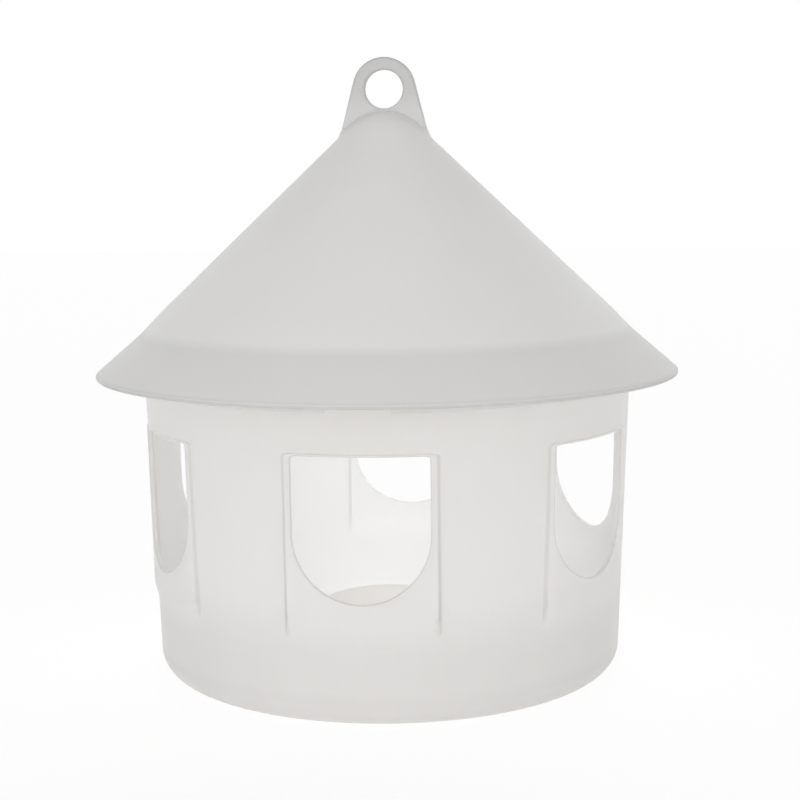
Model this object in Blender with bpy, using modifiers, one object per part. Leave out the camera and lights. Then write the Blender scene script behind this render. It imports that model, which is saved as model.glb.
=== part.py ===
"""Bird drinker: a pot with six drinking windows under a loose conical roof with a hanging eye.

Metres, +Z up. The origin is the middle of the pot's foot, and the front window faces -Y.
"""
import math

import bmesh
import bpy
from mathutils import Matrix, Vector

# Driving dimensions of the pot
RIM_RADIUS = 0.100
POT_HEIGHT = 0.137
WALL = 0.0018
WALL_DRAFT = math.radians(2.0)
BASE_CORNER = 0.010
FLOOR_RISE = 0.0232
FLOOR_RISE_TOP = 0.026
FLOOR_RISE_FOOT = 0.048

# Driving dimensions of the windows and of the panel around each
WINDOW_COUNT = 6
WINDOW_WIDTH = 0.051
WINDOW_HEIGHT = 0.0545
WINDOW_SILL = 0.048
PANEL_MARGIN = 0.0029
PANEL_LIP = 0.0008
PANEL_BELOW_SILL = 0.0125
PANEL_PROUD_TOP = 0.0004
PANEL_PROUD_FOOT = 0.0014

# Driving dimensions of the rib strips between the windows, under the roof
RIB_BELOW_RIM = 0.0185
RIB_HEIGHT = 0.0035
RIB_PROUD = 0.0008
RIB_GAP_WIDTH = 0.0235

# Driving dimensions of the roof
CONE_SLOPE = math.radians(43.4)
SHOULDER_SLOPE = math.radians(46.6)
SHOULDER_WIDTH = 0.0081
BRIM_SLOPE = math.radians(40.6)
BRIM_REACH = 0.019
BRIM_THICKNESS = 0.0020
ROOF_WALL = 0.0018
CONE_TIP_RADIUS = 0.020
COLLAR_DEPTH = 0.009
COLLAR_WALL = 0.0016

# Driving dimensions of the hanging eye
EYE_HOLE_RADIUS = 0.0077
EYE_RING = 0.0051
EYE_THICKNESS = 0.005
EYE_EDGE = 0.0013
EYE_FLARE = math.radians(14.5)
EYE_ABOVE_APEX = 0.0016

# Clearances between the two pieces
SEAT_GAP = 0.0003
COLLAR_GAP = 0.0008
SEAT_OVERHANG = 0.00024
CREASE_OVERHANG = 0.0004

# Fineness of the round shapes
TURN_STEPS = 72
ARC_STEPS = 6
FLOOR_STEPS = 8
EDGE_STEPS = 1
WINDOW_ARC_STEPS = 20
EYE_ARC_STEPS = 28
SMOOTH_ANGLE = math.radians(28)
MERGE = 0.00001

# Colours and roughness of the two pieces
POT_COLOUR = (0.76, 0.74, 0.71, 1.0)
ROOF_COLOUR = (0.70, 0.69, 0.67, 1.0)
PLASTIC_ROUGHNESS = 0.42


def wall_radius(z):
    """Outer radius of the pot's tapered wall at a height."""
    return RIM_RADIUS - (POT_HEIGHT - z) * math.tan(WALL_DRAFT)


def arc(centre, radius, start, end, steps):
    """Points on an arc in the profile plane, as (r, z)."""
    turn = (end - start) / steps
    return [
        (centre[0] + radius * math.cos(start + turn * i), centre[1] + radius * math.sin(start + turn * i))
        for i in range(steps + 1)
    ]


def collection(name):
    """A new collection in the scene."""
    made = bpy.data.collections.new(name)
    bpy.context.scene.collection.children.link(made)
    return made


def plastic(name, colour):
    """Milky moulded plastic."""
    material = bpy.data.materials.new(name)
    material.use_nodes = True
    shader = material.node_tree.nodes["Principled BSDF"]
    shader.inputs["Base Color"].default_value = colour
    shader.inputs["Roughness"].default_value = PLASTIC_ROUGHNESS
    shader.inputs["Metallic"].default_value = 0.0
    return material


def turned(name, points, closed, where, start=0.0):
    """A profile turned once around Z, with its first facet edge at an angle from +X."""
    mesh = bpy.data.meshes.new(name)
    count = len(points)
    edges = [(i, (i + 1) % count) for i in range(count if closed else count - 1)]
    mesh.from_pydata([(r, 0.0, z) for r, z in points], edges, [])
    made = bpy.data.objects.new(name, mesh)
    made.rotation_euler.z = start
    where.objects.link(made)
    screw = made.modifiers.new("turn", "SCREW")
    screw.steps = TURN_STEPS
    screw.render_steps = TURN_STEPS
    screw.use_merge_vertices = True
    screw.merge_threshold = MERGE
    return made


def evaluated_mesh(source):
    """The mesh that an object has after its modifiers."""
    graph = bpy.context.evaluated_depsgraph_get()
    return bpy.data.meshes.new_from_object(source.evaluated_get(graph))


def plate(name, outlines, thickness, edge, where):
    """Flat closed outlines in XZ, filled, as a solid plate centred on Y = 0 with rounded edges."""
    curve = bpy.data.curves.new(name, "CURVE")
    curve.dimensions = "2D"
    curve.fill_mode = "BOTH"
    curve.extrude = thickness / 2 - edge
    curve.bevel_depth = edge
    curve.bevel_resolution = EDGE_STEPS
    curve.offset = -edge
    for outline in outlines:
        spline = curve.splines.new("POLY")
        spline.points.add(len(outline) - 1)
        spline.use_cyclic_u = True
        for point, (x, z) in zip(spline.points, outline):
            point.co = (x, z, 0.0, 1.0)
    flat = bpy.data.objects.new(name + "_outline", curve)
    where.objects.link(flat)
    flat.rotation_euler.x = math.radians(90)
    bpy.context.view_layer.update()
    mesh = evaluated_mesh(flat)
    mesh.name = name
    welded = bmesh.new()
    welded.from_mesh(mesh)
    bmesh.ops.remove_doubles(welded, verts=welded.verts, dist=MERGE)
    bmesh.ops.transform(welded, matrix=flat.matrix_world, verts=welded.verts)
    bmesh.ops.recalc_face_normals(welded, faces=welded.faces)
    welded.to_mesh(mesh)
    welded.free()
    made = bpy.data.objects.new(name, mesh)
    where.objects.link(made)
    bpy.data.objects.remove(flat)
    return made


def around(name, mesh, place, where):
    """One copy of a mesh for each window, turned about Z, in one object."""
    ring = bmesh.new()
    for i in range(WINDOW_COUNT):
        before = set(ring.verts)
        ring.from_mesh(mesh)
        new = [v for v in ring.verts if v not in before]
        turn = Matrix.Rotation(math.tau * i / WINDOW_COUNT, 4, "Z")
        bmesh.ops.transform(ring, matrix=turn @ place, verts=new)
    joined = bpy.data.meshes.new(name)
    ring.to_mesh(joined)
    ring.free()
    made = bpy.data.objects.new(name, joined)
    where.objects.link(made)
    return made


def block(width, depth, height):
    """A box mesh about its own middle."""
    solid = bmesh.new()
    bmesh.ops.create_cube(solid, size=1.0, matrix=Matrix.Diagonal((width, depth, height, 1.0)))
    mesh = bpy.data.meshes.new("block")
    solid.to_mesh(mesh)
    solid.free()
    return mesh


def combine(target, operation, other):
    """A Boolean between two objects, kept as a modifier."""
    step = target.modifiers.new(operation.lower() + "_" + other.name, "BOOLEAN")
    step.operation = operation
    step.solver = "EXACT"
    step.object = other


def finish(source, name, material, where):
    """The finished piece: one plain mesh, smooth on its round faces."""
    bpy.context.view_layer.update()
    mesh = evaluated_mesh(source)
    mesh.name = name
    mesh.shade_smooth()
    mesh.set_sharp_from_angle(angle=SMOOTH_ANGLE)
    mesh.materials.clear()
    mesh.materials.append(material)
    piece = bpy.data.objects.new(name, mesh)
    where.objects.link(piece)
    return piece


def floor_height(r):
    """How far the floor has risen at a radius: flat in the middle, flat at the foot, smooth between."""
    share = (r - FLOOR_RISE_TOP) / (FLOOR_RISE_FOOT - FLOOR_RISE_TOP)
    share = min(max(share, 0.0), 1.0)
    return FLOOR_RISE * (0.5 + 0.5 * math.cos(math.pi * share))


def pot_profile():
    """Inner floor and wall going up, the round rim, then the outer wall and the underside going in."""
    step = (FLOOR_RISE_FOOT - FLOOR_RISE_TOP) / FLOOR_STEPS
    floor_radii = [FLOOR_RISE_TOP + step * i for i in range(FLOOR_STEPS + 1)]
    corner = (wall_radius(BASE_CORNER) - BASE_CORNER / math.cos(WALL_DRAFT), BASE_CORNER)
    wall_turn = -WALL_DRAFT
    down = -math.pi / 2
    rim = (RIM_RADIUS - WALL / 2, POT_HEIGHT - WALL / 2)
    points = [(0.0, WALL + FLOOR_RISE)]
    points += [(r, WALL + floor_height(r)) for r in floor_radii]
    points += arc(corner, BASE_CORNER - WALL, down, wall_turn, ARC_STEPS)
    points += arc(rim, WALL / 2, math.pi, 0.0, ARC_STEPS)
    points += arc(corner, BASE_CORNER, wall_turn, down, ARC_STEPS)
    points += [(r, floor_height(r)) for r in reversed(floor_radii)]
    points += [(0.0, FLOOR_RISE)]
    return points


def panel_profile():
    """The raised panel's section: a thin skin on the wall with a round lower edge."""
    top = WINDOW_SILL + WINDOW_HEIGHT + PANEL_LIP
    foot = WINDOW_SILL - PANEL_BELOW_SILL
    root = WALL / 2
    sunk = WALL / 10
    edge_centre = (wall_radius(foot) - sunk, foot + PANEL_PROUD_FOOT)
    points = [(wall_radius(top) - root, top), (wall_radius(top) + PANEL_PROUD_TOP, top)]
    points += arc(edge_centre, PANEL_PROUD_FOOT, 0.0, -math.pi / 2, ARC_STEPS)
    points += [(wall_radius(foot) - root, foot)]
    return points


def rib_profile():
    """The rib strip's section, chamfered above and below."""
    low = POT_HEIGHT - RIB_BELOW_RIM
    high = low + RIB_HEIGHT
    root = WALL / 2
    chamfer = RIB_PROUD / 2
    return [
        (wall_radius(high) - root, high),
        (wall_radius(high) + chamfer, high),
        (wall_radius(high) + RIB_PROUD, high - chamfer),
        (wall_radius(low) + RIB_PROUD, low + chamfer),
        (wall_radius(low) + chamfer, low),
        (wall_radius(low) - root, low),
    ]


def window_outline():
    """A window in its own plane: flat top, straight sides, round foot."""
    half = WINDOW_WIDTH / 2
    top = WINDOW_SILL + WINDOW_HEIGHT
    foot = arc((0.0, WINDOW_SILL + half), half, 0.0, -math.pi, WINDOW_ARC_STEPS)
    return [(-half, top), (half, top)] + foot


def make_pot(parts, cutters):
    """The pot: a turned bucket with panels and rib strips joined on and windows cut through."""
    shell = turned("pot_shell", pot_profile(), False, cutters)
    outward = Matrix.Translation((0.0, -RIM_RADIUS, 0.0))
    half_facet = math.pi / TURN_STEPS
    deep = 0.4 * RIM_RADIUS
    tall = 2 * POT_HEIGHT

    panels = turned("pot_panels", panel_profile(), True, cutters, half_facet)
    panel_block = block(WINDOW_WIDTH + 2 * PANEL_MARGIN, deep, tall)
    combine(panels, "INTERSECT", around("panel_blocks", panel_block, outward, cutters))
    combine(shell, "UNION", panels)

    ribs = turned("pot_ribs", rib_profile(), True, cutters, half_facet)
    gap_block = block(RIB_GAP_WIDTH, deep, tall)
    combine(ribs, "DIFFERENCE", around("rib_gaps", gap_block, outward, cutters))
    combine(shell, "UNION", ribs)

    window = plate("window", [window_outline()], deep, 0.0, cutters)
    combine(shell, "DIFFERENCE", around("windows", window.data, outward, cutters))
    return finish(shell, "pot", plastic("pot_plastic", POT_COLOUR), parts)


def roof_heights():
    """The heights and radii that the roof's sections share, worked out from the pot's rim up."""
    seat = POT_HEIGHT + SEAT_GAP
    seat_outer = RIM_RADIUS + SEAT_OVERHANG
    crease = RIM_RADIUS + CREASE_OVERHANG
    under_brim = seat - (crease - seat_outer) * math.tan(BRIM_SLOPE)
    crease_height = under_brim + BRIM_THICKNESS / math.cos(BRIM_SLOPE)
    shoulder = crease - SHOULDER_WIDTH
    shoulder_height = crease_height + SHOULDER_WIDTH * math.tan(SHOULDER_SLOPE)
    apex = shoulder_height + shoulder * math.tan(CONE_SLOPE)
    return {
        "seat": seat,
        "seat_outer": seat_outer,
        "crease": crease,
        "crease_height": crease_height,
        "shoulder": shoulder,
        "shoulder_height": shoulder_height,
        "apex": apex,
    }


def cone_skin(apex, inset, outer_radius):
    """The cone's surface set in by a distance: the round tip from the axis, then one straight line."""
    tip_centre = (0.0, apex - CONE_TIP_RADIUS / math.cos(CONE_SLOPE))
    tip = arc(tip_centre, CONE_TIP_RADIUS - inset, math.pi / 2, math.pi / 2 - CONE_SLOPE, ARC_STEPS)
    tip[0] = (0.0, tip[0][1])
    foot = apex - inset / math.cos(CONE_SLOPE) - outer_radius * math.tan(CONE_SLOPE)
    return tip + [(outer_radius, foot)]


def roof_profile(at):
    """Tip, cone, shoulder, brim and round eave going down, then the seat, the collar and the inside going up."""
    along = Vector((math.cos(BRIM_SLOPE), -math.sin(BRIM_SLOPE)))
    half = BRIM_THICKNESS / 2
    crease = Vector((at["crease"], at["crease_height"]))
    eave_radius = RIM_RADIUS + BRIM_REACH - half
    middle = crease - half * Vector((math.sin(BRIM_SLOPE), math.cos(BRIM_SLOPE)))
    eave = middle + along * ((eave_radius - middle.x) / along.x)
    collar_outer = RIM_RADIUS - WALL - COLLAR_GAP
    collar_inner = collar_outer - COLLAR_WALL
    collar_foot = at["seat"] - COLLAR_DEPTH
    points = cone_skin(at["apex"], 0.0, at["shoulder"])
    points += [tuple(crease)]
    points += arc(eave, half, math.pi / 2 - BRIM_SLOPE, -math.pi / 2 - BRIM_SLOPE, ARC_STEPS)
    points += [(at["seat_outer"], at["seat"]), (collar_outer, at["seat"])]
    points += [(collar_outer, collar_foot), (collar_inner, collar_foot)]
    points += list(reversed(cone_skin(at["apex"], ROOF_WALL, collar_inner)))
    return points


def eye_outline(centre):
    """The eye's plate: a round top with flanks that flare down into the cone."""
    outer = EYE_HOLE_RADIUS + EYE_RING
    root = 3 * outer
    top = arc((0.0, centre), outer, math.pi - EYE_FLARE, EYE_FLARE, EYE_ARC_STEPS)
    foot_x = top[-1][0] + root * math.tan(EYE_FLARE)
    foot_z = top[-1][1] - root
    return top + [(foot_x, foot_z), (-foot_x, foot_z)]


def make_roof(parts, cutters):
    """The roof: a turned cone with its brim and collar, and the eye's plate joined on its tip."""
    at = roof_heights()
    shell = turned("roof_shell", roof_profile(at), False, cutters)
    eye_height = at["apex"] + EYE_ABOVE_APEX
    hole_step = math.tau / EYE_ARC_STEPS
    hole = arc((0.0, eye_height), EYE_HOLE_RADIUS, 0.0, math.tau - hole_step, EYE_ARC_STEPS - 1)
    eye = plate("eye_plate", [eye_outline(eye_height), hole], EYE_THICKNESS, EYE_EDGE, cutters)
    trim_skin = cone_skin(at["apex"], ROOF_WALL / 2, at["shoulder"])
    trim = turned("eye_trim", trim_skin + [(0.0, trim_skin[-1][1])], False, cutters)
    combine(eye, "DIFFERENCE", trim)
    combine(shell, "UNION", eye)
    return finish(shell, "roof", plastic("roof_plastic", ROOF_COLOUR), parts)


for old in list(bpy.data.objects):
    bpy.data.objects.remove(old)
drinker = collection("bird_drinker")
tools = collection("cutters")
make_pot(drinker, tools)
make_roof(drinker, tools)
for tool in tools.objects:
    tool.hide_render = True
    tool.display_type = "WIRE"
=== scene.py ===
"""A bird drinker: a pot with six windows under a loose conical roof with a hanging eye, on a white table."""
import math

import bmesh
import bpy
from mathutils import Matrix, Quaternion, Vector


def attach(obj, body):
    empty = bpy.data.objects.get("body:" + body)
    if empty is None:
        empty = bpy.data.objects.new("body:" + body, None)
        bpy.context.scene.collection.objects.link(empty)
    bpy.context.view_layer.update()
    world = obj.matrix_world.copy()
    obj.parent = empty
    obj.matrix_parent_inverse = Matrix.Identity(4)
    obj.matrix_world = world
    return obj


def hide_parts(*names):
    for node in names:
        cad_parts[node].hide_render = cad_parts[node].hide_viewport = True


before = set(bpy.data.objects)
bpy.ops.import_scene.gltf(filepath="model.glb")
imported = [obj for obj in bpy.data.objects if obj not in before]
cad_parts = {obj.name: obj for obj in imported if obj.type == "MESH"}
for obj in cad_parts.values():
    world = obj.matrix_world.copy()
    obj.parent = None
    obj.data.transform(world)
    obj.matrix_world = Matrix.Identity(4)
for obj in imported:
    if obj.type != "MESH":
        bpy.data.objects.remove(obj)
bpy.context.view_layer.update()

# The pot
# One injection moulding in natural polypropylene, a milky plastic 1.8 mm thick, with a tapered wall. Its six
# windows sit in panels that stand proud outside and are hollow inside, and a rib strip runs between them
# under the roof. It stands on a flat foot ring around a raised floor.
RIM_RADIUS = 0.100
POT_HEIGHT = 0.137
WALL = 0.0018
WALL_DRAFT = math.radians(2.0)
BASE_CORNER = 0.010
FLOOR_RISE = 0.0232
FLOOR_RISE_TOP = 0.026
FLOOR_RISE_FOOT = 0.048
WINDOW_COUNT = 6
WINDOW_WIDTH = 0.051
WINDOW_HEIGHT = 0.0545
WINDOW_SILL = 0.048
WINDOW_CORNER = 0.0010
WINDOW_EDGE = 0.0003
PANEL_MARGIN = 0.0029
PANEL_LIP = 0.0008
PANEL_BELOW_SILL = 0.0125
PANEL_PROUD_TOP = 0.0004
PANEL_PROUD_FOOT = 0.0014
PANEL_CORNER = 0.0012
PANEL_FOOT_ROUNDNESS = 24
PANEL_FOOT_SOFTNESS = 6
PANEL_TOP_SHARPNESS = 0.25
RIB_LOW = 0.1185
RIB_HIGH = 0.1220
RIB_PROUD = 0.0008
RIB_GAP_WIDTH = 0.0235
RIB_SOFTNESS = 0.0003
RIB_END = math.asin(RIB_GAP_WIDTH / 2 / RIM_RADIUS)
RIB_END_SOFTNESS = math.radians(0.25)
GATE_RADIUS = 0.0016
GATE_STUB = 0.0006
GATE_DIMPLE = 0.0060
GATE_DEPTH = 0.0004

# The wall is laid out in six equal sectors, each a patch around its window between the bands above and below.
# The columns across half of a sector's top lie closer together at the end of the rib strip.
SECTOR = math.pi / WINDOW_COUNT
PATCH_TOP = 0.1065
PATCH_FOOT = 0.0285
PATCH_SHARES = (0.0, 0.22, 0.44, 0.64, 0.80, 0.92)
RIB_END_COLUMNS = [(RIB_END + step * RIB_END_SOFTNESS) / SECTOR for step in (-1.5, -0.5, 0.5, 1.5)]
TOP_SHARES = [0, 0.07, 0.14, 0.195] + RIB_END_COLUMNS + [0.26] + [0.32 + 0.08 * i for i in range(8)] + [0.95]
CORNER_STEPS = 2
SIDE_STEPS = 12
FOOT_STEPS = 28
BORDER_STEPS = FOOT_STEPS // 2
BAND_STEP = 0.0036
BAND_ROWS = 8
RIM_STEPS = 8
FOOT_BAND_STEP = 0.0048
FOOT_BAND_ROWS = 4
BASE_STEPS = 12
FLOOR_RISE_STEPS = 20
FOOT_RING_RADII = [0.078, 0.068, 0.058, 0.052]
FLOOR_MIDDLE_RADII = [0.020, 0.014, 0.009]
EDGE_TURNS = (0, 30, 60, 90)

# A panel's step in five loops: how far each lies outside its middle, its share of the rise and of the painted
# shade line
STEP_LOOPS = (
    (0.0008, 0.0, 0.0),
    (0.0004, 0.1, 0.7),
    (0.0, 0.5, 1.0),
    (-0.0004, 0.9, 0.7),
    (-0.0008, 1.0, 0.0),
)

# How far the plastic takes its dense, darker look, from 0 to 1, and where these places end: painted shade
# along the windows' cut edges and the panels' lines; elsewhere darker below the panels, at the base, under
# the floor and on the rib strip
CUT_EDGE_PAINTED_SHADE = 0.4
CUT_LINE = 0.0002
PANEL_LINE_PAINTED_SHADE = 0.5
INNER_LINE_PAINTED_SHADE = 0.2
LINE_END = 0.985
LOW_WALL = 0.30
LOW_WALL_FOOT = 0.021
LOW_WALL_TOP = 0.056
BASE_EDGE = 0.28
BASE_TOP = 0.016
FLOOR_EDGE = 0.26
RIB_EDGE = 0.4


def smooth(low, high, value):
    """0 below low, 1 above high and a smooth rise between."""
    share = min(max((value - low) / (high - low), 0.0), 1.0)
    return share * share * (3 - 2 * share)


def wall_radius(z):
    """Outer radius of the tapered wall at a height."""
    return RIM_RADIUS - (POT_HEIGHT - z) * math.tan(WALL_DRAFT)


def inner_radius(z):
    """Inner radius of the wall at a height."""
    return wall_radius(z) - WALL


def panel_rise(z):
    """How far a window's panel stands proud of the wall at a height."""
    top = WINDOW_SILL + WINDOW_HEIGHT
    share = (top - z) / (WINDOW_HEIGHT + PANEL_BELOW_SILL)
    return PANEL_PROUD_TOP + (PANEL_PROUD_FOOT - PANEL_PROUD_TOP) * share


def panel_front(z):
    """Outer radius of a panel at a height."""
    return wall_radius(z) + panel_rise(z)


def panel_back(z):
    """Inner radius of a panel at a height; the panel is as thick as the wall, so it is hollow inside."""
    return inner_radius(z) + panel_rise(z)


def half_outline(half, top, corner, foot, roundness):
    """The right half of a window's or panel's edge as (x, z), from its top's middle to its foot's middle."""
    level = WINDOW_SILL + WINDOW_WIDTH / 2
    side = top - corner
    points = [(share * (half - corner), top) for share in TOP_SHARES]
    for i in range(1, CORNER_STEPS + 1):
        turn = math.pi / 2 * i / CORNER_STEPS
        points.append((half - corner + corner * math.sin(turn), side + corner * math.cos(turn)))
    for i in range(1, SIDE_STEPS + 1):
        points.append((half, side + (level - side) * i / SIDE_STEPS))
    for i in range(1, FOOT_STEPS + 1):
        turn = math.pi / 2 * i / FOOT_STEPS
        across = math.cos(turn)
        down = math.sin(turn)
        reach = ((across / half) ** roundness + (down / (level - foot)) ** roundness) ** (-1 / roundness)
        points.append((across * reach, level - down * reach))
    return points


def window_edge(grow):
    """Half of a window's outline, grown by a distance; its foot is a half circle."""
    half = WINDOW_WIDTH / 2 + grow
    top = WINDOW_SILL + WINDOW_HEIGHT + grow
    return half_outline(half, top, WINDOW_CORNER + grow, WINDOW_SILL - grow, 2)


def panel_edge(grow):
    """Half of a panel's outline, grown by a distance; its foot grows more than its sides, its top less."""
    half = WINDOW_WIDTH / 2 + PANEL_MARGIN + grow
    top = WINDOW_SILL + WINDOW_HEIGHT + PANEL_LIP + PANEL_TOP_SHARPNESS * grow
    foot = WINDOW_SILL - PANEL_BELOW_SILL - PANEL_FOOT_SOFTNESS * grow
    return half_outline(half, top, PANEL_CORNER, foot, PANEL_FOOT_ROUNDNESS)


def outside_edge(z):
    """How much darker the outside of the wall looks: more so below the panels and at the base."""
    base = BASE_EDGE * (1 - smooth(0.0, BASE_TOP, z))
    return base + LOW_WALL * (1 - smooth(LOW_WALL_FOOT, LOW_WALL_TOP, z))


def inside_edge(z):
    """The wall shows no dense places on its inside."""
    return 0.0


def cut_edge_painted_shade(z):
    """The cut edge of a window gets the same painted shade at every height."""
    return CUT_EDGE_PAINTED_SHADE


def on_wall(points, radius, edge, depth=0.0):
    """Points (x, z) on a wall, set in by a depth, as (angle, z, radius, edge); edge is how far it takes the
    darker look.
    """
    return [(math.asin(x / (radius(z) - depth)), z, radius(z) - depth, edge(z)) for x, z in points]


def sector_edge(radius, edge):
    """Half of a sector's own border, with as many points as the outlines inside it."""
    steps = SIDE_STEPS + 1 + BORDER_STEPS
    down = [(SECTOR, PATCH_TOP + (PATCH_FOOT - PATCH_TOP) * i / steps) for i in range(steps + 1)]
    along = [(SECTOR * (1 - i / BORDER_STEPS), PATCH_FOOT) for i in range(1, BORDER_STEPS + 1)]
    border = [(share * SECTOR, PATCH_TOP) for share in TOP_SHARES] + down + along
    return [(angle, z, radius(z), edge(z)) for angle, z in border]


def between(a, b, share, radius, edge):
    """A loop part of the way from one loop to another, on the wall."""
    mixed = [(p[0] + (q[0] - p[0]) * share, p[1] + (q[1] - p[1]) * share) for p, q in zip(a, b)]
    return [(angle, z, radius(z), edge(z)) for angle, z in mixed]


def whole(half):
    """A closed loop from its right half."""
    return half + [(-angle, z, radius, edge) for angle, z, radius, edge in reversed(half[1:-1])]


def cross_band(mesh, rows):
    """Faces between neighbouring rows of (angle, z, radius, edge) points, each row a ring."""
    # Each point keeps its edge mark, its share of the darker look; along lines and edges this is painted
    # shade
    mark = mesh.verts.layers.float.get("edge") or mesh.verts.layers.float.new("edge")
    made = []
    for row in rows:
        made.append([mesh.verts.new((r * math.sin(a), -r * math.cos(a), z)) for a, z, r, edge in row])
        for vertex, point in zip(made[-1], row):
            vertex[mark] = point[3]
    for near, far in zip(made, made[1:]):
        for i in range(len(near)):
            j = (i + 1) % len(near)
            mesh.faces.new((near[i], near[j], far[j], far[i]))


def panel_loop(grow, height, line, radius, edge):
    """A loop part of the way up a panel's step, with a painted shade line on its top and sides, not on its
    foot.
    """
    outline = panel_edge(grow)
    half = max(x for x, z in outline)
    level = WINDOW_SILL + WINDOW_WIDTH / 2
    loop = []
    for x, z in outline:
        side = 1.0 if z > level else smooth(LINE_END, 1.0, x / half)
        r = radius(z) + height * panel_rise(z)
        loop.append((math.asin(x / r), z, r, edge(z) + line * side))
    return loop


def window_patch():
    """The loops of one sector, from its border outside, in through the window, to its border inside."""
    border = sector_edge(wall_radius, outside_edge)
    skirt = on_wall(panel_edge(STEP_LOOPS[0][0]), wall_radius, outside_edge)
    loops = [between(border, skirt, share, wall_radius, outside_edge) for share in PATCH_SHARES]
    # The panel's step carries a painted shade line outside and a fainter one inside
    for grow, height, line in STEP_LOOPS:
        loops.append(panel_loop(grow, height, PANEL_LINE_PAINTED_SHADE * line, wall_radius, outside_edge))
    loops.append(on_wall(window_edge(WINDOW_EDGE + CUT_LINE), panel_front, outside_edge))
    turns = [math.radians(turn) for turn in EDGE_TURNS]
    rounding = [(WINDOW_EDGE * (1 - math.sin(turn)), WINDOW_EDGE * (1 - math.cos(turn))) for turn in turns]
    for grow, depth in rounding:
        loops.append(on_wall(window_edge(grow), panel_front, cut_edge_painted_shade, depth))
    for grow, depth in reversed(rounding):
        loops.append(on_wall(window_edge(grow), panel_back, inside_edge, -depth))
    for grow, height, line in reversed(STEP_LOOPS):
        loops.append(panel_loop(grow, height, INNER_LINE_PAINTED_SHADE * line, inner_radius, inside_edge))
    lining = loops[-1]
    inside = sector_edge(inner_radius, inside_edge)
    loops += [between(inside, lining, share, inner_radius, inside_edge) for share in reversed(PATCH_SHARES)]
    return [whole(loop) for loop in loops]


def turned_about(loop, angle):
    """A loop moved round the axis."""
    return [(a + angle, z, r, edge) for a, z, r, edge in loop]


def ring_angles(half):
    """The angles of a whole ring of columns, from those of half a sector."""
    sector = [-a for a in reversed(half[1:])] + list(half[:-1])
    return [a + 2 * SECTOR * k for k in range(WINDOW_COUNT) for a in sector]


def arc(centre, radius, start, end, steps):
    """Points (r, z) on an arc, with its angles in degrees."""
    turns = [math.radians(start + (end - start) * i / steps) for i in range(steps + 1)]
    return [(centre[0] + radius * math.cos(t), centre[1] + radius * math.sin(t)) for t in turns]


def floor_height(r):
    """How far the floor has risen at a radius."""
    share = min(max((r - FLOOR_RISE_TOP) / (FLOOR_RISE_FOOT - FLOOR_RISE_TOP), 0.0), 1.0)
    return FLOOR_RISE * (0.5 + 0.5 * math.cos(math.pi * share))


def rib_rise(angle, z):
    """How far the rib strip stands proud, with a gap over the middle of each window."""
    from_window = abs((angle + SECTOR) % (2 * SECTOR) - SECTOR)
    along = smooth(RIB_END - RIB_END_SOFTNESS, RIB_END + RIB_END_SOFTNESS, from_window)
    foot = smooth(RIB_LOW - RIB_SOFTNESS, RIB_LOW + RIB_SOFTNESS, z)
    top = smooth(RIB_HIGH + RIB_SOFTNESS, RIB_HIGH - RIB_SOFTNESS, z)
    return RIB_PROUD * along * foot * top


pot_mesh = bmesh.new()
for k in range(WINDOW_COUNT):
    cross_band(pot_mesh, [turned_about(loop, 2 * SECTOR * k) for loop in window_patch()])

# The band above the windows with its rib strip, up over the round rim and down inside
upper_angles = ring_angles([share * SECTOR for share in TOP_SHARES] + [SECTOR])
rib_heights = [z + step * RIB_SOFTNESS for z in (RIB_LOW, RIB_HIGH) for step in (-1, -0.5, 0, 0.5, 1)]
band_heights = [PATCH_TOP + BAND_STEP * i for i in range(BAND_ROWS)]
upper_rows = []
for z in sorted(band_heights + rib_heights):
    rises = [(a, rib_rise(a, z)) for a in upper_angles]
    upper_rows.append([(a, z, wall_radius(z) + rise, RIB_EDGE * rise / RIB_PROUD) for a, rise in rises])
rim = arc((RIM_RADIUS - WALL / 2, POT_HEIGHT - WALL / 2), WALL / 2, 0, 180, RIM_STEPS)
upper_rows += [[(a, z, r, 0.0) for a in upper_angles] for r, z in rim]
upper_rows += [[(a, z, inner_radius(z), 0.0) for a in upper_angles] for z in band_heights[-2::-2]]
cross_band(pot_mesh, upper_rows)

# The band below the windows, round the base corner and over the raised floor, outside and inside.
# The wall's darker look passes into the floor's own over the foot ring.
lower_angles = ring_angles([SECTOR * i / BORDER_STEPS for i in range(BORDER_STEPS + 1)])
base_centre = (wall_radius(BASE_CORNER) - BASE_CORNER / math.cos(WALL_DRAFT), BASE_CORNER)
draft = math.degrees(WALL_DRAFT)
foot_heights = [PATCH_FOOT - FOOT_BAND_STEP * i for i in range(FOOT_BAND_ROWS)]
rise_shares = [i / FLOOR_RISE_STEPS for i in range(FLOOR_RISE_STEPS + 1)]
rise_radii = [FLOOR_RISE_FOOT + (FLOOR_RISE_TOP - FLOOR_RISE_FOOT) * share for share in rise_shares]
floor_radii = FOOT_RING_RADII + rise_radii + FLOOR_MIDDLE_RADII
gate_mark = [
    (GATE_DIMPLE, FLOOR_RISE),
    (GATE_DIMPLE - GATE_DEPTH, FLOOR_RISE + GATE_DEPTH),
    (GATE_RADIUS + GATE_DEPTH / 2, FLOOR_RISE + GATE_DEPTH),
    (GATE_RADIUS, FLOOR_RISE + GATE_DEPTH / 4),
    (GATE_RADIUS - GATE_DEPTH / 2, FLOOR_RISE - GATE_STUB),
    (0.0, FLOOR_RISE - GATE_STUB),
]
outer_foot = [(wall_radius(z), z) for z in foot_heights]
outer_foot += arc(base_centre, BASE_CORNER, -draft, -90, BASE_STEPS)
outer_foot += [(r, floor_height(r)) for r in floor_radii]
outer_foot += gate_mark
inner_foot = [(inner_radius(z), z) for z in foot_heights]
inner_foot += arc(base_centre, BASE_CORNER - WALL, -draft, -90, BASE_STEPS)
inner_foot += [(r, WALL + floor_height(r)) for r in floor_radii]
inner_foot.append((0.0, WALL + FLOOR_RISE))
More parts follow.
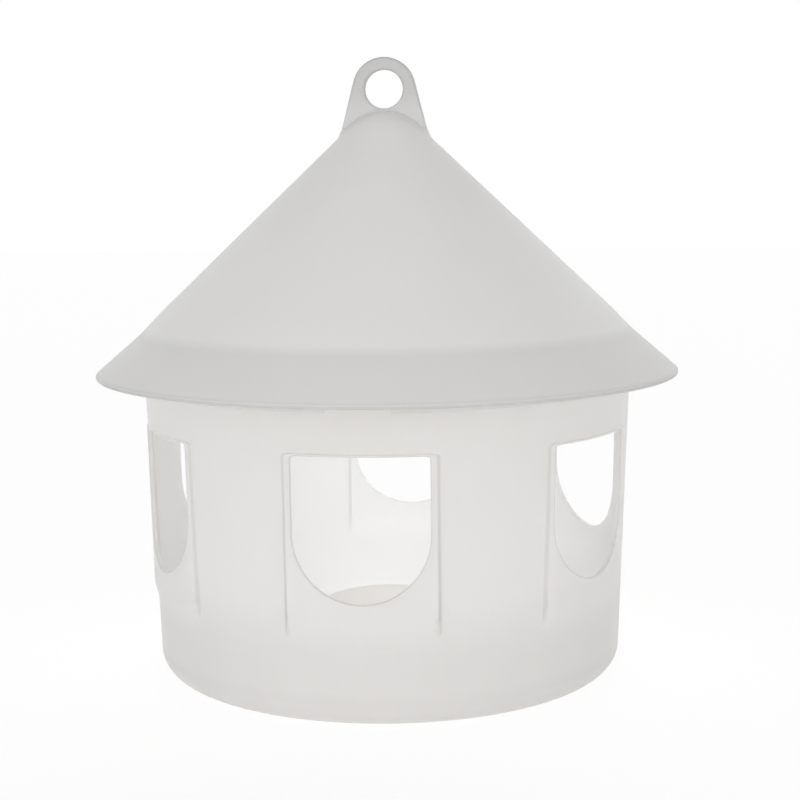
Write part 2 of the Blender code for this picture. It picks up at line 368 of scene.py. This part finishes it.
for side, edge, floor_edge in ((outer_foot, outside_edge, FLOOR_EDGE), (inner_foot, inside_edge, 0.0)):
    lower_rows = []
    for r, z in side:
        dense = floor_edge + (edge(z) - floor_edge) * smooth(FLOOR_RISE_FOOT, base_centre[0], r)
        lower_rows.append([(a, z, r, dense) for a in lower_angles])
    cross_band(pot_mesh, lower_rows)

WELD_DISTANCE = 0.000002
SHARP_ANGLE = math.radians(50)


def finished(mesh, name, body):
    """Welds a mesh, makes it an object with even shading, and puts it on its body."""
    bmesh.ops.remove_doubles(mesh, verts=mesh.verts, dist=WELD_DISTANCE)
    bmesh.ops.recalc_face_normals(mesh, faces=mesh.faces)
    data = bpy.data.meshes.new(name)
    mesh.to_mesh(data)
    mesh.free()
    data.shade_smooth()
    data.set_sharp_from_angle(angle=SHARP_ANGLE)
    piece = bpy.data.objects.new(name, data)
    bpy.context.scene.collection.objects.link(piece)
    even = piece.modifiers.new("even_shading", "WEIGHTED_NORMAL")
    even.keep_sharp = True
    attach(piece, body)
    return piece


class Shade:
    """One output of a material's node; arithmetic on it adds Math nodes to the same tree."""

    def __init__(self, tree, socket):
        self.tree = tree
        self.socket = socket

    def node(self, kind, settings, sockets, output=0):
        """A new node: its settings first, then the values or links of its sockets."""
        made = self.tree.nodes.new(kind)
        for name, value in settings.items():
            setattr(made, name, value)
        for name, value in sockets.items():
            if isinstance(value, Shade):
                self.tree.links.new(value.socket, made.inputs[name])
            else:
                made.inputs[name].default_value = value
        return Shade(self.tree, made.outputs[output])

    def maths(self, operation, a, b):
        """A Math node on two values."""
        return self.node("ShaderNodeMath", {"operation": operation}, {0: a, 1: b})

    def clipped(self):
        """The same value, kept between 0 and 1."""
        return self.node("ShaderNodeClamp", {}, {"Value": self})

    def __add__(self, other):
        return self.maths("ADD", self, other)

    def __radd__(self, other):
        return self.maths("ADD", other, self)

    def __sub__(self, other):
        return self.maths("SUBTRACT", self, other)

    def __rsub__(self, other):
        return self.maths("SUBTRACT", other, self)

    def __mul__(self, other):
        return self.maths("MULTIPLY", self, other)

    def __rmul__(self, other):
        return self.maths("MULTIPLY", other, self)


def smooth_rise(value, low, high):
    """0 below low, 1 above high and a smooth rise between, over a surface."""
    settings = {"interpolation_type": "SMOOTHSTEP"}
    return value.node("ShaderNodeMapRange", settings, {"Value": value, "From Min": low, "From Max": high})


def deepened(share, colour, depth):
    """A colour that goes a share of the way to a darker one, over a surface."""
    deeper = tuple(depth * part for part in colour[:3]) + (1,)
    settings = {"data_type": "RGBA", "clamp_factor": True}
    return share.node("ShaderNodeMix", settings, {0: share, 6: colour, 7: deeper}, output=2)


# The plastic: its satin skin, its faint clouds and flow marks, and how far light of each colour travels in it
SATIN = 0.40
NOISE_MEAN = 0.5
GRAIN_SCALE = 2600.0
GRAIN_DETAIL = 2.0
GRAIN_ROUGHNESS = 0.07
GRAIN_RELIEF = 0.02
SINK_SCALE = 60.0
SINK_DETAIL = 1.0
SINK_RELIEF = 0.35
RELIEF_STRENGTH = 0.25
RELIEF_HEIGHT = 0.0004
CLOUD_SCALE = 26.0
CLOUD_DETAIL = 2.0
CLOUD_ROUGHNESS = 0.10
CLOUD_CONTRAST = 0.9
CLOUD_DEPTH = 0.97
CLOUD_AT_EDGE = 0.1
FLOW_SCALE = 2.2
FLOW_DETAIL = 3.0
FLOW_AROUND = 9.0
FLOW_UP = 6.0
FLOW_CONTRAST = 0.5
# How much darker the dense colour grows with the edge mark: painted shade along lines and edges
PAINTED_SHADE_DEPTH = 0.70
PLASTIC_IOR = 1.49
PLASTIC_GLOSS = 0.1
LIGHT_REACH = (0.95, 0.975, 1.0)


def noise(place, scale, detail):
    """Soft noise from 0 to 1 over a surface."""
    return place.node("ShaderNodeTexNoise", {}, {"Vector": place, "Scale": scale, "Detail": detail})


def milky_plastic(name, tone, dense_shade_tone, scatter, density_and_shade=None):
    """Natural polypropylene: milky, mixed with a denser, greyer look where it is marked; along lines and
    edges this is painted shade.
    """
    material = bpy.data.materials.new(name)
    material.use_nodes = True
    tree = material.node_tree
    place = Shade(tree, tree.nodes.new("ShaderNodeTexCoord").outputs["Object"])
    split = place.node("ShaderNodeSeparateXYZ", {}, {0: place})
    x, y, z = (Shade(tree, split.socket.node.outputs[i]) for i in range(3))
    around = FLOW_AROUND * x.maths("ARCTAN2", x, y)
    flow_place = place.node("ShaderNodeCombineXYZ", {}, {0: around, 1: FLOW_UP * z, 2: 0.0})
    flow = noise(flow_place, FLOW_SCALE, FLOW_DETAIL)
    cloud = noise(place, CLOUD_SCALE, CLOUD_DETAIL)
    grain = noise(place, GRAIN_SCALE, GRAIN_DETAIL)
    sink = noise(place, SINK_SCALE, SINK_DETAIL)
    cloudy = NOISE_MEAN + CLOUD_CONTRAST * (cloud - NOISE_MEAN) + FLOW_CONTRAST * (flow - NOISE_MEAN)
    roughness = SATIN + GRAIN_ROUGHNESS * (grain - NOISE_MEAN) + CLOUD_ROUGHNESS * (cloud - NOISE_MEAN)
    relief = GRAIN_RELIEF * grain + SINK_RELIEF * sink
    shape = {"Strength": RELIEF_STRENGTH, "Distance": RELIEF_HEIGHT, "Height": relief}
    bump = place.node("ShaderNodeBump", {}, shape)
    edge = place.node("ShaderNodeAttribute", {"attribute_name": "edge"}, {}, output=2)
    skin = {"Roughness": roughness, "Normal": bump, "IOR": PLASTIC_IOR, "Specular IOR Level": PLASTIC_GLOSS}
    milk = {"Subsurface Weight": 1.0, "Subsurface Radius": LIGHT_REACH, "Subsurface Scale": scatter}
    milky_colour = deepened(cloudy, tone, CLOUD_DEPTH)
    # The dense colour deepens with the edge mark, which paints shade along lines and edges
    dense_shade_colour = deepened(edge + CLOUD_AT_EDGE * cloudy, dense_shade_tone, PAINTED_SHADE_DEPTH)
    milky = place.node("ShaderNodeBsdfPrincipled", {}, {"Base Color": milky_colour, **skin, **milk})
    dense = place.node("ShaderNodeBsdfPrincipled", {}, {"Base Color": dense_shade_colour, **skin})
    share = edge.clipped() if density_and_shade is None else (density_and_shade(z) + edge).clipped()
    look = place.node("ShaderNodeMixShader", {}, {0: share, 1: milky, 2: dense})
    tree.links.new(look.socket, tree.nodes["Material Output"].inputs["Surface"])
    tree.nodes.remove(tree.nodes["Principled BSDF"])
    return material


POT_TONE = (0.975, 0.967, 0.955, 1)
# The pot's dense tone is painted shade along lines and edges, and darkens its lower wall
POT_DENSE_SHADE_TONE = (0.70, 0.68, 0.66, 1)
POT_SCATTER = 0.0138
pot = finished(pot_mesh, "pot_moulding", "pot")
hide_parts("pot")
pot.data.materials.append(milky_plastic("pot_milky_plastic", POT_TONE, POT_DENSE_SHADE_TONE, POT_SCATTER))

# The roof
# A second moulding in the same plastic: a cone with a round tip, a slightly steeper shoulder and a flared
# brim with a round eave. It lies loose on the pot's rim, and a short collar inside the rim keeps it from
# sliding off.
CONE_SLOPE = math.radians(43.4)
SHOULDER_SLOPE = math.radians(46.6)
SHOULDER_WIDTH = 0.0081
BRIM_SLOPE = math.radians(40.6)
BRIM_REACH = 0.019
BRIM_THICKNESS = 0.0020
ROOF_WALL = 0.0018
TIP_RADIUS = 0.020
COLLAR_DEPTH = 0.009
COLLAR_WALL = 0.0016
SEAT_GAP = 0.0003
SEAT_OVERHANG = 0.00024
CREASE_OVERHANG = 0.0004
COLLAR_GAP = 0.0008
SEAT = POT_HEIGHT + SEAT_GAP
SEAT_RADIUS = RIM_RADIUS + SEAT_OVERHANG
CREASE_RADIUS = RIM_RADIUS + CREASE_OVERHANG
COLLAR_RADIUS = RIM_RADIUS - WALL - COLLAR_GAP
SEAT_DROP = (CREASE_RADIUS - SEAT_RADIUS) * math.tan(BRIM_SLOPE)
CREASE_HEIGHT = SEAT - SEAT_DROP + BRIM_THICKNESS / math.cos(BRIM_SLOPE)
SHOULDER_RADIUS = CREASE_RADIUS - SHOULDER_WIDTH
SHOULDER_HEIGHT = CREASE_HEIGHT + SHOULDER_WIDTH * math.tan(SHOULDER_SLOPE)
APEX = SHOULDER_HEIGHT + SHOULDER_RADIUS * math.tan(CONE_SLOPE)
SOFT_CORNER = 0.060
SEAT_EDGE = 0.0006
COLLAR_ROOT = 0.0004
COLLAR_EDGE = 0.0005
COLLAR_FILLET = 0.0012
EAVE_LINE = 0.0004
EAVE_ROUNDNESS = 0.999
ROOF_STEPS = 180
TIP_ROWS = 41
TIP_ROW_WIDTH = 0.00055
CONE_RADII = [0.0245, 0.028, 0.033, 0.039, 0.046, 0.053]
PROFILE_START = 0.060
INSIDE_RADII = [0.050, 0.040, 0.031, 0.024, 0.019, 0.015, 0.012, 0.009, 0.006, 0.003, 0.0]

# The eye's plate faces the front and back windows; the cone's tip runs up to it, most at the plate's flanks
EYE_HOLE = 0.0077
EYE_RING = 0.0051
EYE_THICKNESS = 0.005
EYE_EDGE = 0.0013
EYE_FLARE = math.radians(14.5)
EYE_CENTRE = APEX + 0.0016
EYE_FOOT_HALF_WIDTH = 0.0181
EYE_FILLET = 0.0018
EYE_FLANK = 0.006
EYE_FACE_SHARE = 0.4


def cone_height(r, inset=0.0):
    """Height of the cone's surface at a radius, set in by a distance; its tip is round."""
    ball = TIP_RADIUS - inset
    if r < ball * math.sin(CONE_SLOPE):
        return APEX - TIP_RADIUS / math.cos(CONE_SLOPE) + math.sqrt(ball * ball - r * r)
    return APEX - inset / math.cos(CONE_SLOPE) - r * math.tan(CONE_SLOPE)


def eye_fillet(x, y):
    """How far the plastic runs up to the eye's plate where it meets the cone."""
    across = max(abs(x) - EYE_FOOT_HALF_WIDTH + EYE_EDGE, 0.0)
    through = max(abs(y) - EYE_THICKNESS / 2 + EYE_EDGE, 0.0)
    away = math.hypot(across, through) - EYE_EDGE
    share = 1 - min(max(away / EYE_FILLET, 0.0), 1.0)
    flank = smooth(EYE_FOOT_HALF_WIDTH - EYE_FLANK, EYE_FOOT_HALF_WIDTH, abs(x))
    fullness = EYE_FACE_SHARE + (1 - EYE_FACE_SHARE) * flank
    return fullness * EYE_FILLET * (1 - math.sqrt(1 - share * share))


def rounded(corners):
    """A profile whose corners (r, z, radius, steps) become arcs between their sides; radius 0 stays sharp."""
    points = []
    for i, (r, z, radius, steps) in enumerate(corners):
        here = Vector((r, z))
        if radius == 0:
            points.append((r, z))
            continue
        back = (Vector(corners[i - 1][:2]) - here).normalized()
        on = (Vector(corners[i + 1][:2]) - here).normalized()
        half = back.angle(on) / 2
        centre = here + (back + on).normalized() * radius / math.sin(half)
        first = here + back * radius / math.tan(half) - centre
        turn = -back.cross(on) / abs(back.cross(on)) * (math.pi - 2 * half)
        for step in range(steps + 1):
            cos = math.cos(turn * step / steps)
            sin = math.sin(turn * step / steps)
            spoke = Vector((first.x * cos - first.y * sin, first.x * sin + first.y * cos))
            points.append(tuple(centre + spoke))
    return points


along_brim = Vector((math.cos(BRIM_SLOPE), -math.sin(BRIM_SLOPE)))
out_of_brim = Vector((math.sin(BRIM_SLOPE), math.cos(BRIM_SLOPE)))
crease = Vector((CREASE_RADIUS, CREASE_HEIGHT))
eave_middle = RIM_RADIUS + BRIM_REACH - BRIM_THICKNESS / 2
lip_middle = crease - out_of_brim * BRIM_THICKNESS / 2
lip_end = lip_middle + along_brim * ((eave_middle - lip_middle.x) / along_brim.x + BRIM_THICKNESS / 2)
eave_top = lip_end + out_of_brim * BRIM_THICKNESS / 2
eave_under = lip_end - out_of_brim * BRIM_THICKNESS / 2
# Just under half of the thickness, so that the eave's two arcs stay apart
half_round = BRIM_THICKNESS / 2 * EAVE_ROUNDNESS
before_eave = eave_top - along_brim * (BRIM_THICKNESS + EAVE_LINE)
under_eave = eave_under - along_brim * (BRIM_THICKNESS + EAVE_LINE)
collar_foot = SEAT - COLLAR_DEPTH
collar_inside = COLLAR_RADIUS - COLLAR_WALL
cone_joint = cone_height(collar_inside, ROOF_WALL)
brim_corners = [
    (PROFILE_START, cone_height(PROFILE_START), 0, 0),
    (SHOULDER_RADIUS, SHOULDER_HEIGHT, SOFT_CORNER, 4),
    (crease.x, crease.y, SOFT_CORNER, 6),
    (before_eave.x, before_eave.y, 0, 0),
    (eave_top.x, eave_top.y, half_round, 6),
    (eave_under.x, eave_under.y, half_round, 6),
    (under_eave.x, under_eave.y, 0, 0),
    (SEAT_RADIUS, SEAT, SEAT_EDGE, 3),
    (COLLAR_RADIUS, SEAT, COLLAR_ROOT, 3),
    (COLLAR_RADIUS, collar_foot, COLLAR_EDGE, 4),
    (collar_inside, collar_foot, COLLAR_EDGE, 4),
    (collar_inside, cone_joint, COLLAR_FILLET, 4),
    (PROFILE_START, cone_height(PROFILE_START, ROOF_WALL), 0, 0),
]
tip_radii = [TIP_ROW_WIDTH * i for i in range(TIP_ROWS)]
roof_rows = [(r, cone_height(r)) for r in tip_radii + CONE_RADII]
roof_rows += rounded(brim_corners)
roof_rows += [(r, cone_height(r, ROOF_WALL)) for r in INSIDE_RADII]

# The eave's lip gets painted shade, darker underneath than on top. Behind the lip a negative value takes the
# brim's painted shade and denser look off its underside, which then passes light on to the wall below.
EAVE_TOP_PAINTED_SHADE = 0.2
EAVE_UNDER_PAINTED_SHADE = 0.7
BRIM_UNDER_EDGE = -0.6
eave_row = max(range(len(roof_rows)), key=lambda i: roof_rows[i][0])
roof_angles = [math.tau * i / ROOF_STEPS for i in range(ROOF_STEPS)]
roof_rings = []
for i, (r, z) in enumerate(roof_rows):
    if i < TIP_ROWS:
        fillets = [(a, eye_fillet(r * math.sin(a), r * math.cos(a))) for a in roof_angles]
        roof_rings.append([(a, z + fillet, r, 0.0) for a, fillet in fillets])
    else:
        # Painted shade on the eave's lip, taken off the brim's underside behind it
        lip_painted_shade = EAVE_TOP_PAINTED_SHADE if i < eave_row else EAVE_UNDER_PAINTED_SHADE
        behind_lip = BRIM_UNDER_EDGE if i > eave_row and r > SEAT_RADIUS else 0.0
        dense = behind_lip + (lip_painted_shade - behind_lip) * smooth(before_eave.x, eave_middle, r)
        roof_rings.append([(a, z, r, dense) for a in roof_angles])
roof_mesh = bmesh.new()
cross_band(roof_mesh, roof_rings)
roof = finished(roof_mesh, "roof_moulding", "roof")
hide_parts("roof")

# The roof's brim and the cone's tip are painted with shade, a denser and darker look
ROOF_TONE = (0.975, 0.967, 0.955, 1)
ROOF_DENSE_SHADE_TONE = (0.80, 0.79, 0.775, 1)
ROOF_SCATTER = 0.005
CONE_DENSITY = 0.05
BRIM_DENSITY_AND_SHADE = 0.55
TIP_DENSITY_AND_SHADE = 0.45
FADE_BELOW_CREASE = 0.0014
FADE_ABOVE_CREASE = 0.0036


def roof_density_and_shade(z):
    """Painted shade: the brim is denser and darker than the cone, and the cone grows denser and darker
    towards its tip.
    """
    brim = 1 - smooth_rise(z, CREASE_HEIGHT - FADE_BELOW_CREASE, CREASE_HEIGHT + FADE_ABOVE_CREASE)
    tip = smooth_rise(z, CREASE_HEIGHT, APEX)
    return CONE_DENSITY + BRIM_DENSITY_AND_SHADE * brim + TIP_DENSITY_AND_SHADE * tip


roof_plastic = milky_plastic("roof_milky_plastic", ROOF_TONE, ROOF_DENSE_SHADE_TONE, ROOF_SCATTER, roof_density_and_shade)
roof.data.materials.append(roof_plastic)

# The hanging eye
# A flat plate moulded in one with the roof, with a round hole for a hook and well rounded edges all round.
# Its flanks flare down into the cone, and its foot ends inside the cone's wall.
EYE_TOP_STEPS = 20
EYE_SIDE_STEPS = 10
EYE_FOOT_STEPS = 10
EYE_BURY = ROOF_WALL / 2
EYE_SEARCH_STEP = 0.00005
OUTER_TURNS = (0, 25, 50, 70, 90)
HOLE_TURNS = (0, 30, 60, 90)


def eye_half(grow):
    """The right half of the plate's outline as (x, z), grown by a distance, from its top to mid foot."""
    outer = EYE_HOLE + EYE_RING + grow
    top = math.radians(90)
    turns = [top + (EYE_FLARE - top) * i / EYE_TOP_STEPS for i in range(EYE_TOP_STEPS + 1)]
    points = [(outer * math.cos(t), EYE_CENTRE + outer * math.sin(t)) for t in turns]
    shoulder_x, shoulder_z = points[-1]
    along_x = math.sin(EYE_FLARE)
    along_z = -math.cos(EYE_FLARE)
    run = 0.0
    while shoulder_z + run * along_z > cone_height(shoulder_x + run * along_x, EYE_BURY):
        run += EYE_SEARCH_STEP
    for i in range(1, EYE_SIDE_STEPS + 1):
        step = run * i / EYE_SIDE_STEPS
        points.append((shoulder_x + step * along_x, shoulder_z + step * along_z))
    foot_x = points[-1][0]
    for i in range(1, EYE_FOOT_STEPS + 1):
        x = foot_x * (1 - i / EYE_FOOT_STEPS)
        points.append((x, cone_height(x, EYE_BURY)))
    return points


def hole_half(grow):
    """The right half of the hole's edge, with as many points as the plate's outline."""
    steps = EYE_TOP_STEPS + EYE_SIDE_STEPS + EYE_FOOT_STEPS
    turns = [math.radians(90 - 180 * i / steps) for i in range(steps + 1)]
    radius = EYE_HOLE + grow
    return [(radius * math.cos(t), EYE_CENTRE + radius * math.sin(t)) for t in turns]


def eye_edge(half, inward, side, turns):
    """The loops that round one edge of the plate, on its front (side -1) or its back (side 1)."""
    loops = []
    for turn in turns:
        grow = inward * EYE_EDGE * (1 - math.sin(math.radians(turn)))
        depth = side * (EYE_THICKNESS / 2 - EYE_EDGE * (1 - math.cos(math.radians(turn))))
        right = [(x, depth, z) for x, z in half(grow)]
        loops.append(right + [(-x, y, z) for x, y, z in reversed(right[1:-1])])
    return loops


eye_loops = eye_edge(eye_half, -1, -1, OUTER_TURNS) + eye_edge(eye_half, -1, 1, OUTER_TURNS[::-1])
eye_loops += eye_edge(hole_half, 1, 1, HOLE_TURNS) + eye_edge(hole_half, 1, -1, HOLE_TURNS[::-1])
eye_mesh = bmesh.new()
eye_rows = [[eye_mesh.verts.new(point) for point in loop] for loop in eye_loops]
for near, far in zip(eye_rows, eye_rows[1:] + eye_rows[:1]):
    for i in range(len(near)):
        j = (i + 1) % len(near)
        eye_mesh.faces.new((near[i], near[j], far[j], far[i]))
eye = finished(eye_mesh, "hanging_eye", "roof")

# The eye's greyer tones are partly the thick plate's own look and partly painted shade
EYE_TONE = (0.85, 0.845, 0.84, 1)
EYE_DENSE_SHADE_TONE = (0.58, 0.575, 0.57, 1)
EYE_SCATTER = 0.002
EYE_FOOT_DENSITY = 0.60
EYE_RING_DENSITY = 1.0
EYE_FOOT_LEVEL = APEX - 0.012
EYE_RING_LEVEL = APEX + 0.004


def eye_density_and_shade(z):
    """The plate's darker look, partly its thick plastic and partly painted shade: densest around its hole,
    and it lets more light through where it runs into the cone.
    """
    ring = smooth_rise(z, EYE_FOOT_LEVEL, EYE_RING_LEVEL)
    return EYE_FOOT_DENSITY + (EYE_RING_DENSITY - EYE_FOOT_DENSITY) * ring


eye_plastic = milky_plastic("eye_milky_plastic", EYE_TONE, EYE_DENSE_SHADE_TONE, EYE_SCATTER, eye_density_and_shade)
eye.data.materials.append(eye_plastic)

# The white table, the light and the camera
# A white table in a white room, as in a catalogue picture. The light comes from the front and from a bright
# wall behind, a little from the sides and least from above. The camera sees the room as white, and the table
# almost so, which keeps the object's shadow.
TABLE_HALF = 4.0
TABLE_TONE = (0.90, 0.90, 0.90, 1)
TABLE_ROUGHNESS = 0.9
TABLE_GLOW = 0.29
TABLE_WHITENESS = 0.85
WHITE = (1, 1, 1, 1)
FRONT_LIGHT = 2.12
BACK_LIGHT = 3.5
SIDE_LIGHT = 0.16
LIGHT_BOUNCES = 24
CAMERA_TURN = math.radians(6.204)
CAMERA_DISTANCE = 0.6872
CAMERA_HEIGHT = 0.2018
CAMERA_PITCH = math.radians(7.608)
CAMERA_SWING = math.radians(0.425)
CAMERA_ROLL = math.radians(-0.62)
CAMERA_LENS = 75.06
CAMERA_SENSOR = 36.0
CAMERA_NEAR = 0.01
CAMERA_FAR = 20.0

table_mesh = bmesh.new()
bmesh.ops.create_grid(table_mesh, x_segments=1, y_segments=1, size=TABLE_HALF)
table_data = bpy.data.meshes.new("table")
table_mesh.to_mesh(table_data)
table_mesh.free()
table = bpy.data.objects.new("table", table_data)
bpy.context.scene.collection.objects.link(table)


def seen_plain(tree):
    """1 for what is seen directly, in a reflection or through plastic, 0 for light that falls on things."""
    path = tree.nodes.new("ShaderNodeLightPath")
    rays = ("Is Camera Ray", "Is Glossy Ray", "Is Transmission Ray")
    direct, glossy, through = (Shade(tree, path.outputs[ray]) for ray in rays)
    return direct.maths("MAXIMUM", direct, direct.maths("MAXIMUM", glossy, through))


table_paint = bpy.data.materials.new("white_table")
table_paint.use_nodes = True
tree = table_paint.node_tree
paint = tree.nodes["Principled BSDF"]
paint.inputs["Base Color"].default_value = TABLE_TONE
paint.inputs["Roughness"].default_value = TABLE_ROUGHNESS
paint.inputs["Emission Color"].default_value = WHITE
paint.inputs["Emission Strength"].default_value = TABLE_GLOW
plain = seen_plain(tree)
lit = Shade(tree, paint.outputs[0])
white = plain.node("ShaderNodeEmission", {}, {"Color": WHITE, "Strength": 1.0})
table_look = plain.node("ShaderNodeMixShader", {}, {0: plain * TABLE_WHITENESS, 1: lit, 2: white})
tree.links.new(table_look.socket, tree.nodes["Material Output"].inputs["Surface"])
table.data.materials.append(table_paint)

room = bpy.data.worlds.new("white_room")
bpy.context.scene.world = room
room.use_nodes = True
tree = room.node_tree
direction = Shade(tree, tree.nodes.new("ShaderNodeTexCoord").outputs["Generated"])
parts = direction.node("ShaderNodeSeparateXYZ", {}, {0: direction})
sideways, away = (Shade(tree, parts.socket.node.outputs[i]) for i in range(2))
behind = away.maths("MAXIMUM", away, 0.0)
before = away.maths("MAXIMUM", -1.0 * away, 0.0)
front_glow = FRONT_LIGHT * before * before
back_glow = BACK_LIGHT * behind * behind * behind
side_glow = SIDE_LIGHT * sideways * sideways
plain = seen_plain(tree)
strength = plain + (1 - plain) * (front_glow + back_glow + side_glow)
room_light = tree.nodes["Background"]
room_light.inputs["Color"].default_value = WHITE
tree.links.new(strength.socket, room_light.inputs["Strength"])

heading = CAMERA_TURN - CAMERA_SWING
look = Vector((
    -math.sin(heading) * math.cos(CAMERA_PITCH),
    math.cos(heading) * math.cos(CAMERA_PITCH),
    -math.sin(CAMERA_PITCH),
))
camera_data = bpy.data.cameras.new("camera")
camera_data.sensor_width = CAMERA_SENSOR
camera_data.lens = CAMERA_LENS
camera_data.clip_start = CAMERA_NEAR
camera_data.clip_end = CAMERA_FAR
camera = bpy.data.objects.new("camera", camera_data)
camera.location = (
    CAMERA_DISTANCE * math.sin(CAMERA_TURN),
    -CAMERA_DISTANCE * math.cos(CAMERA_TURN),
    CAMERA_HEIGHT,
)
camera.rotation_mode = "QUATERNION"
camera.rotation_quaternion = look.to_track_quat("-Z", "Y") @ Quaternion((0, 0, 1), CAMERA_ROLL)
bpy.context.scene.collection.objects.link(camera)
bpy.context.scene.camera = camera
bpy.context.scene.view_settings.view_transform = "Standard"
bpy.context.scene.cycles.max_bounces = LIGHT_BOUNCES
bpy.context.scene.cycles.diffuse_bounces = LIGHT_BOUNCES
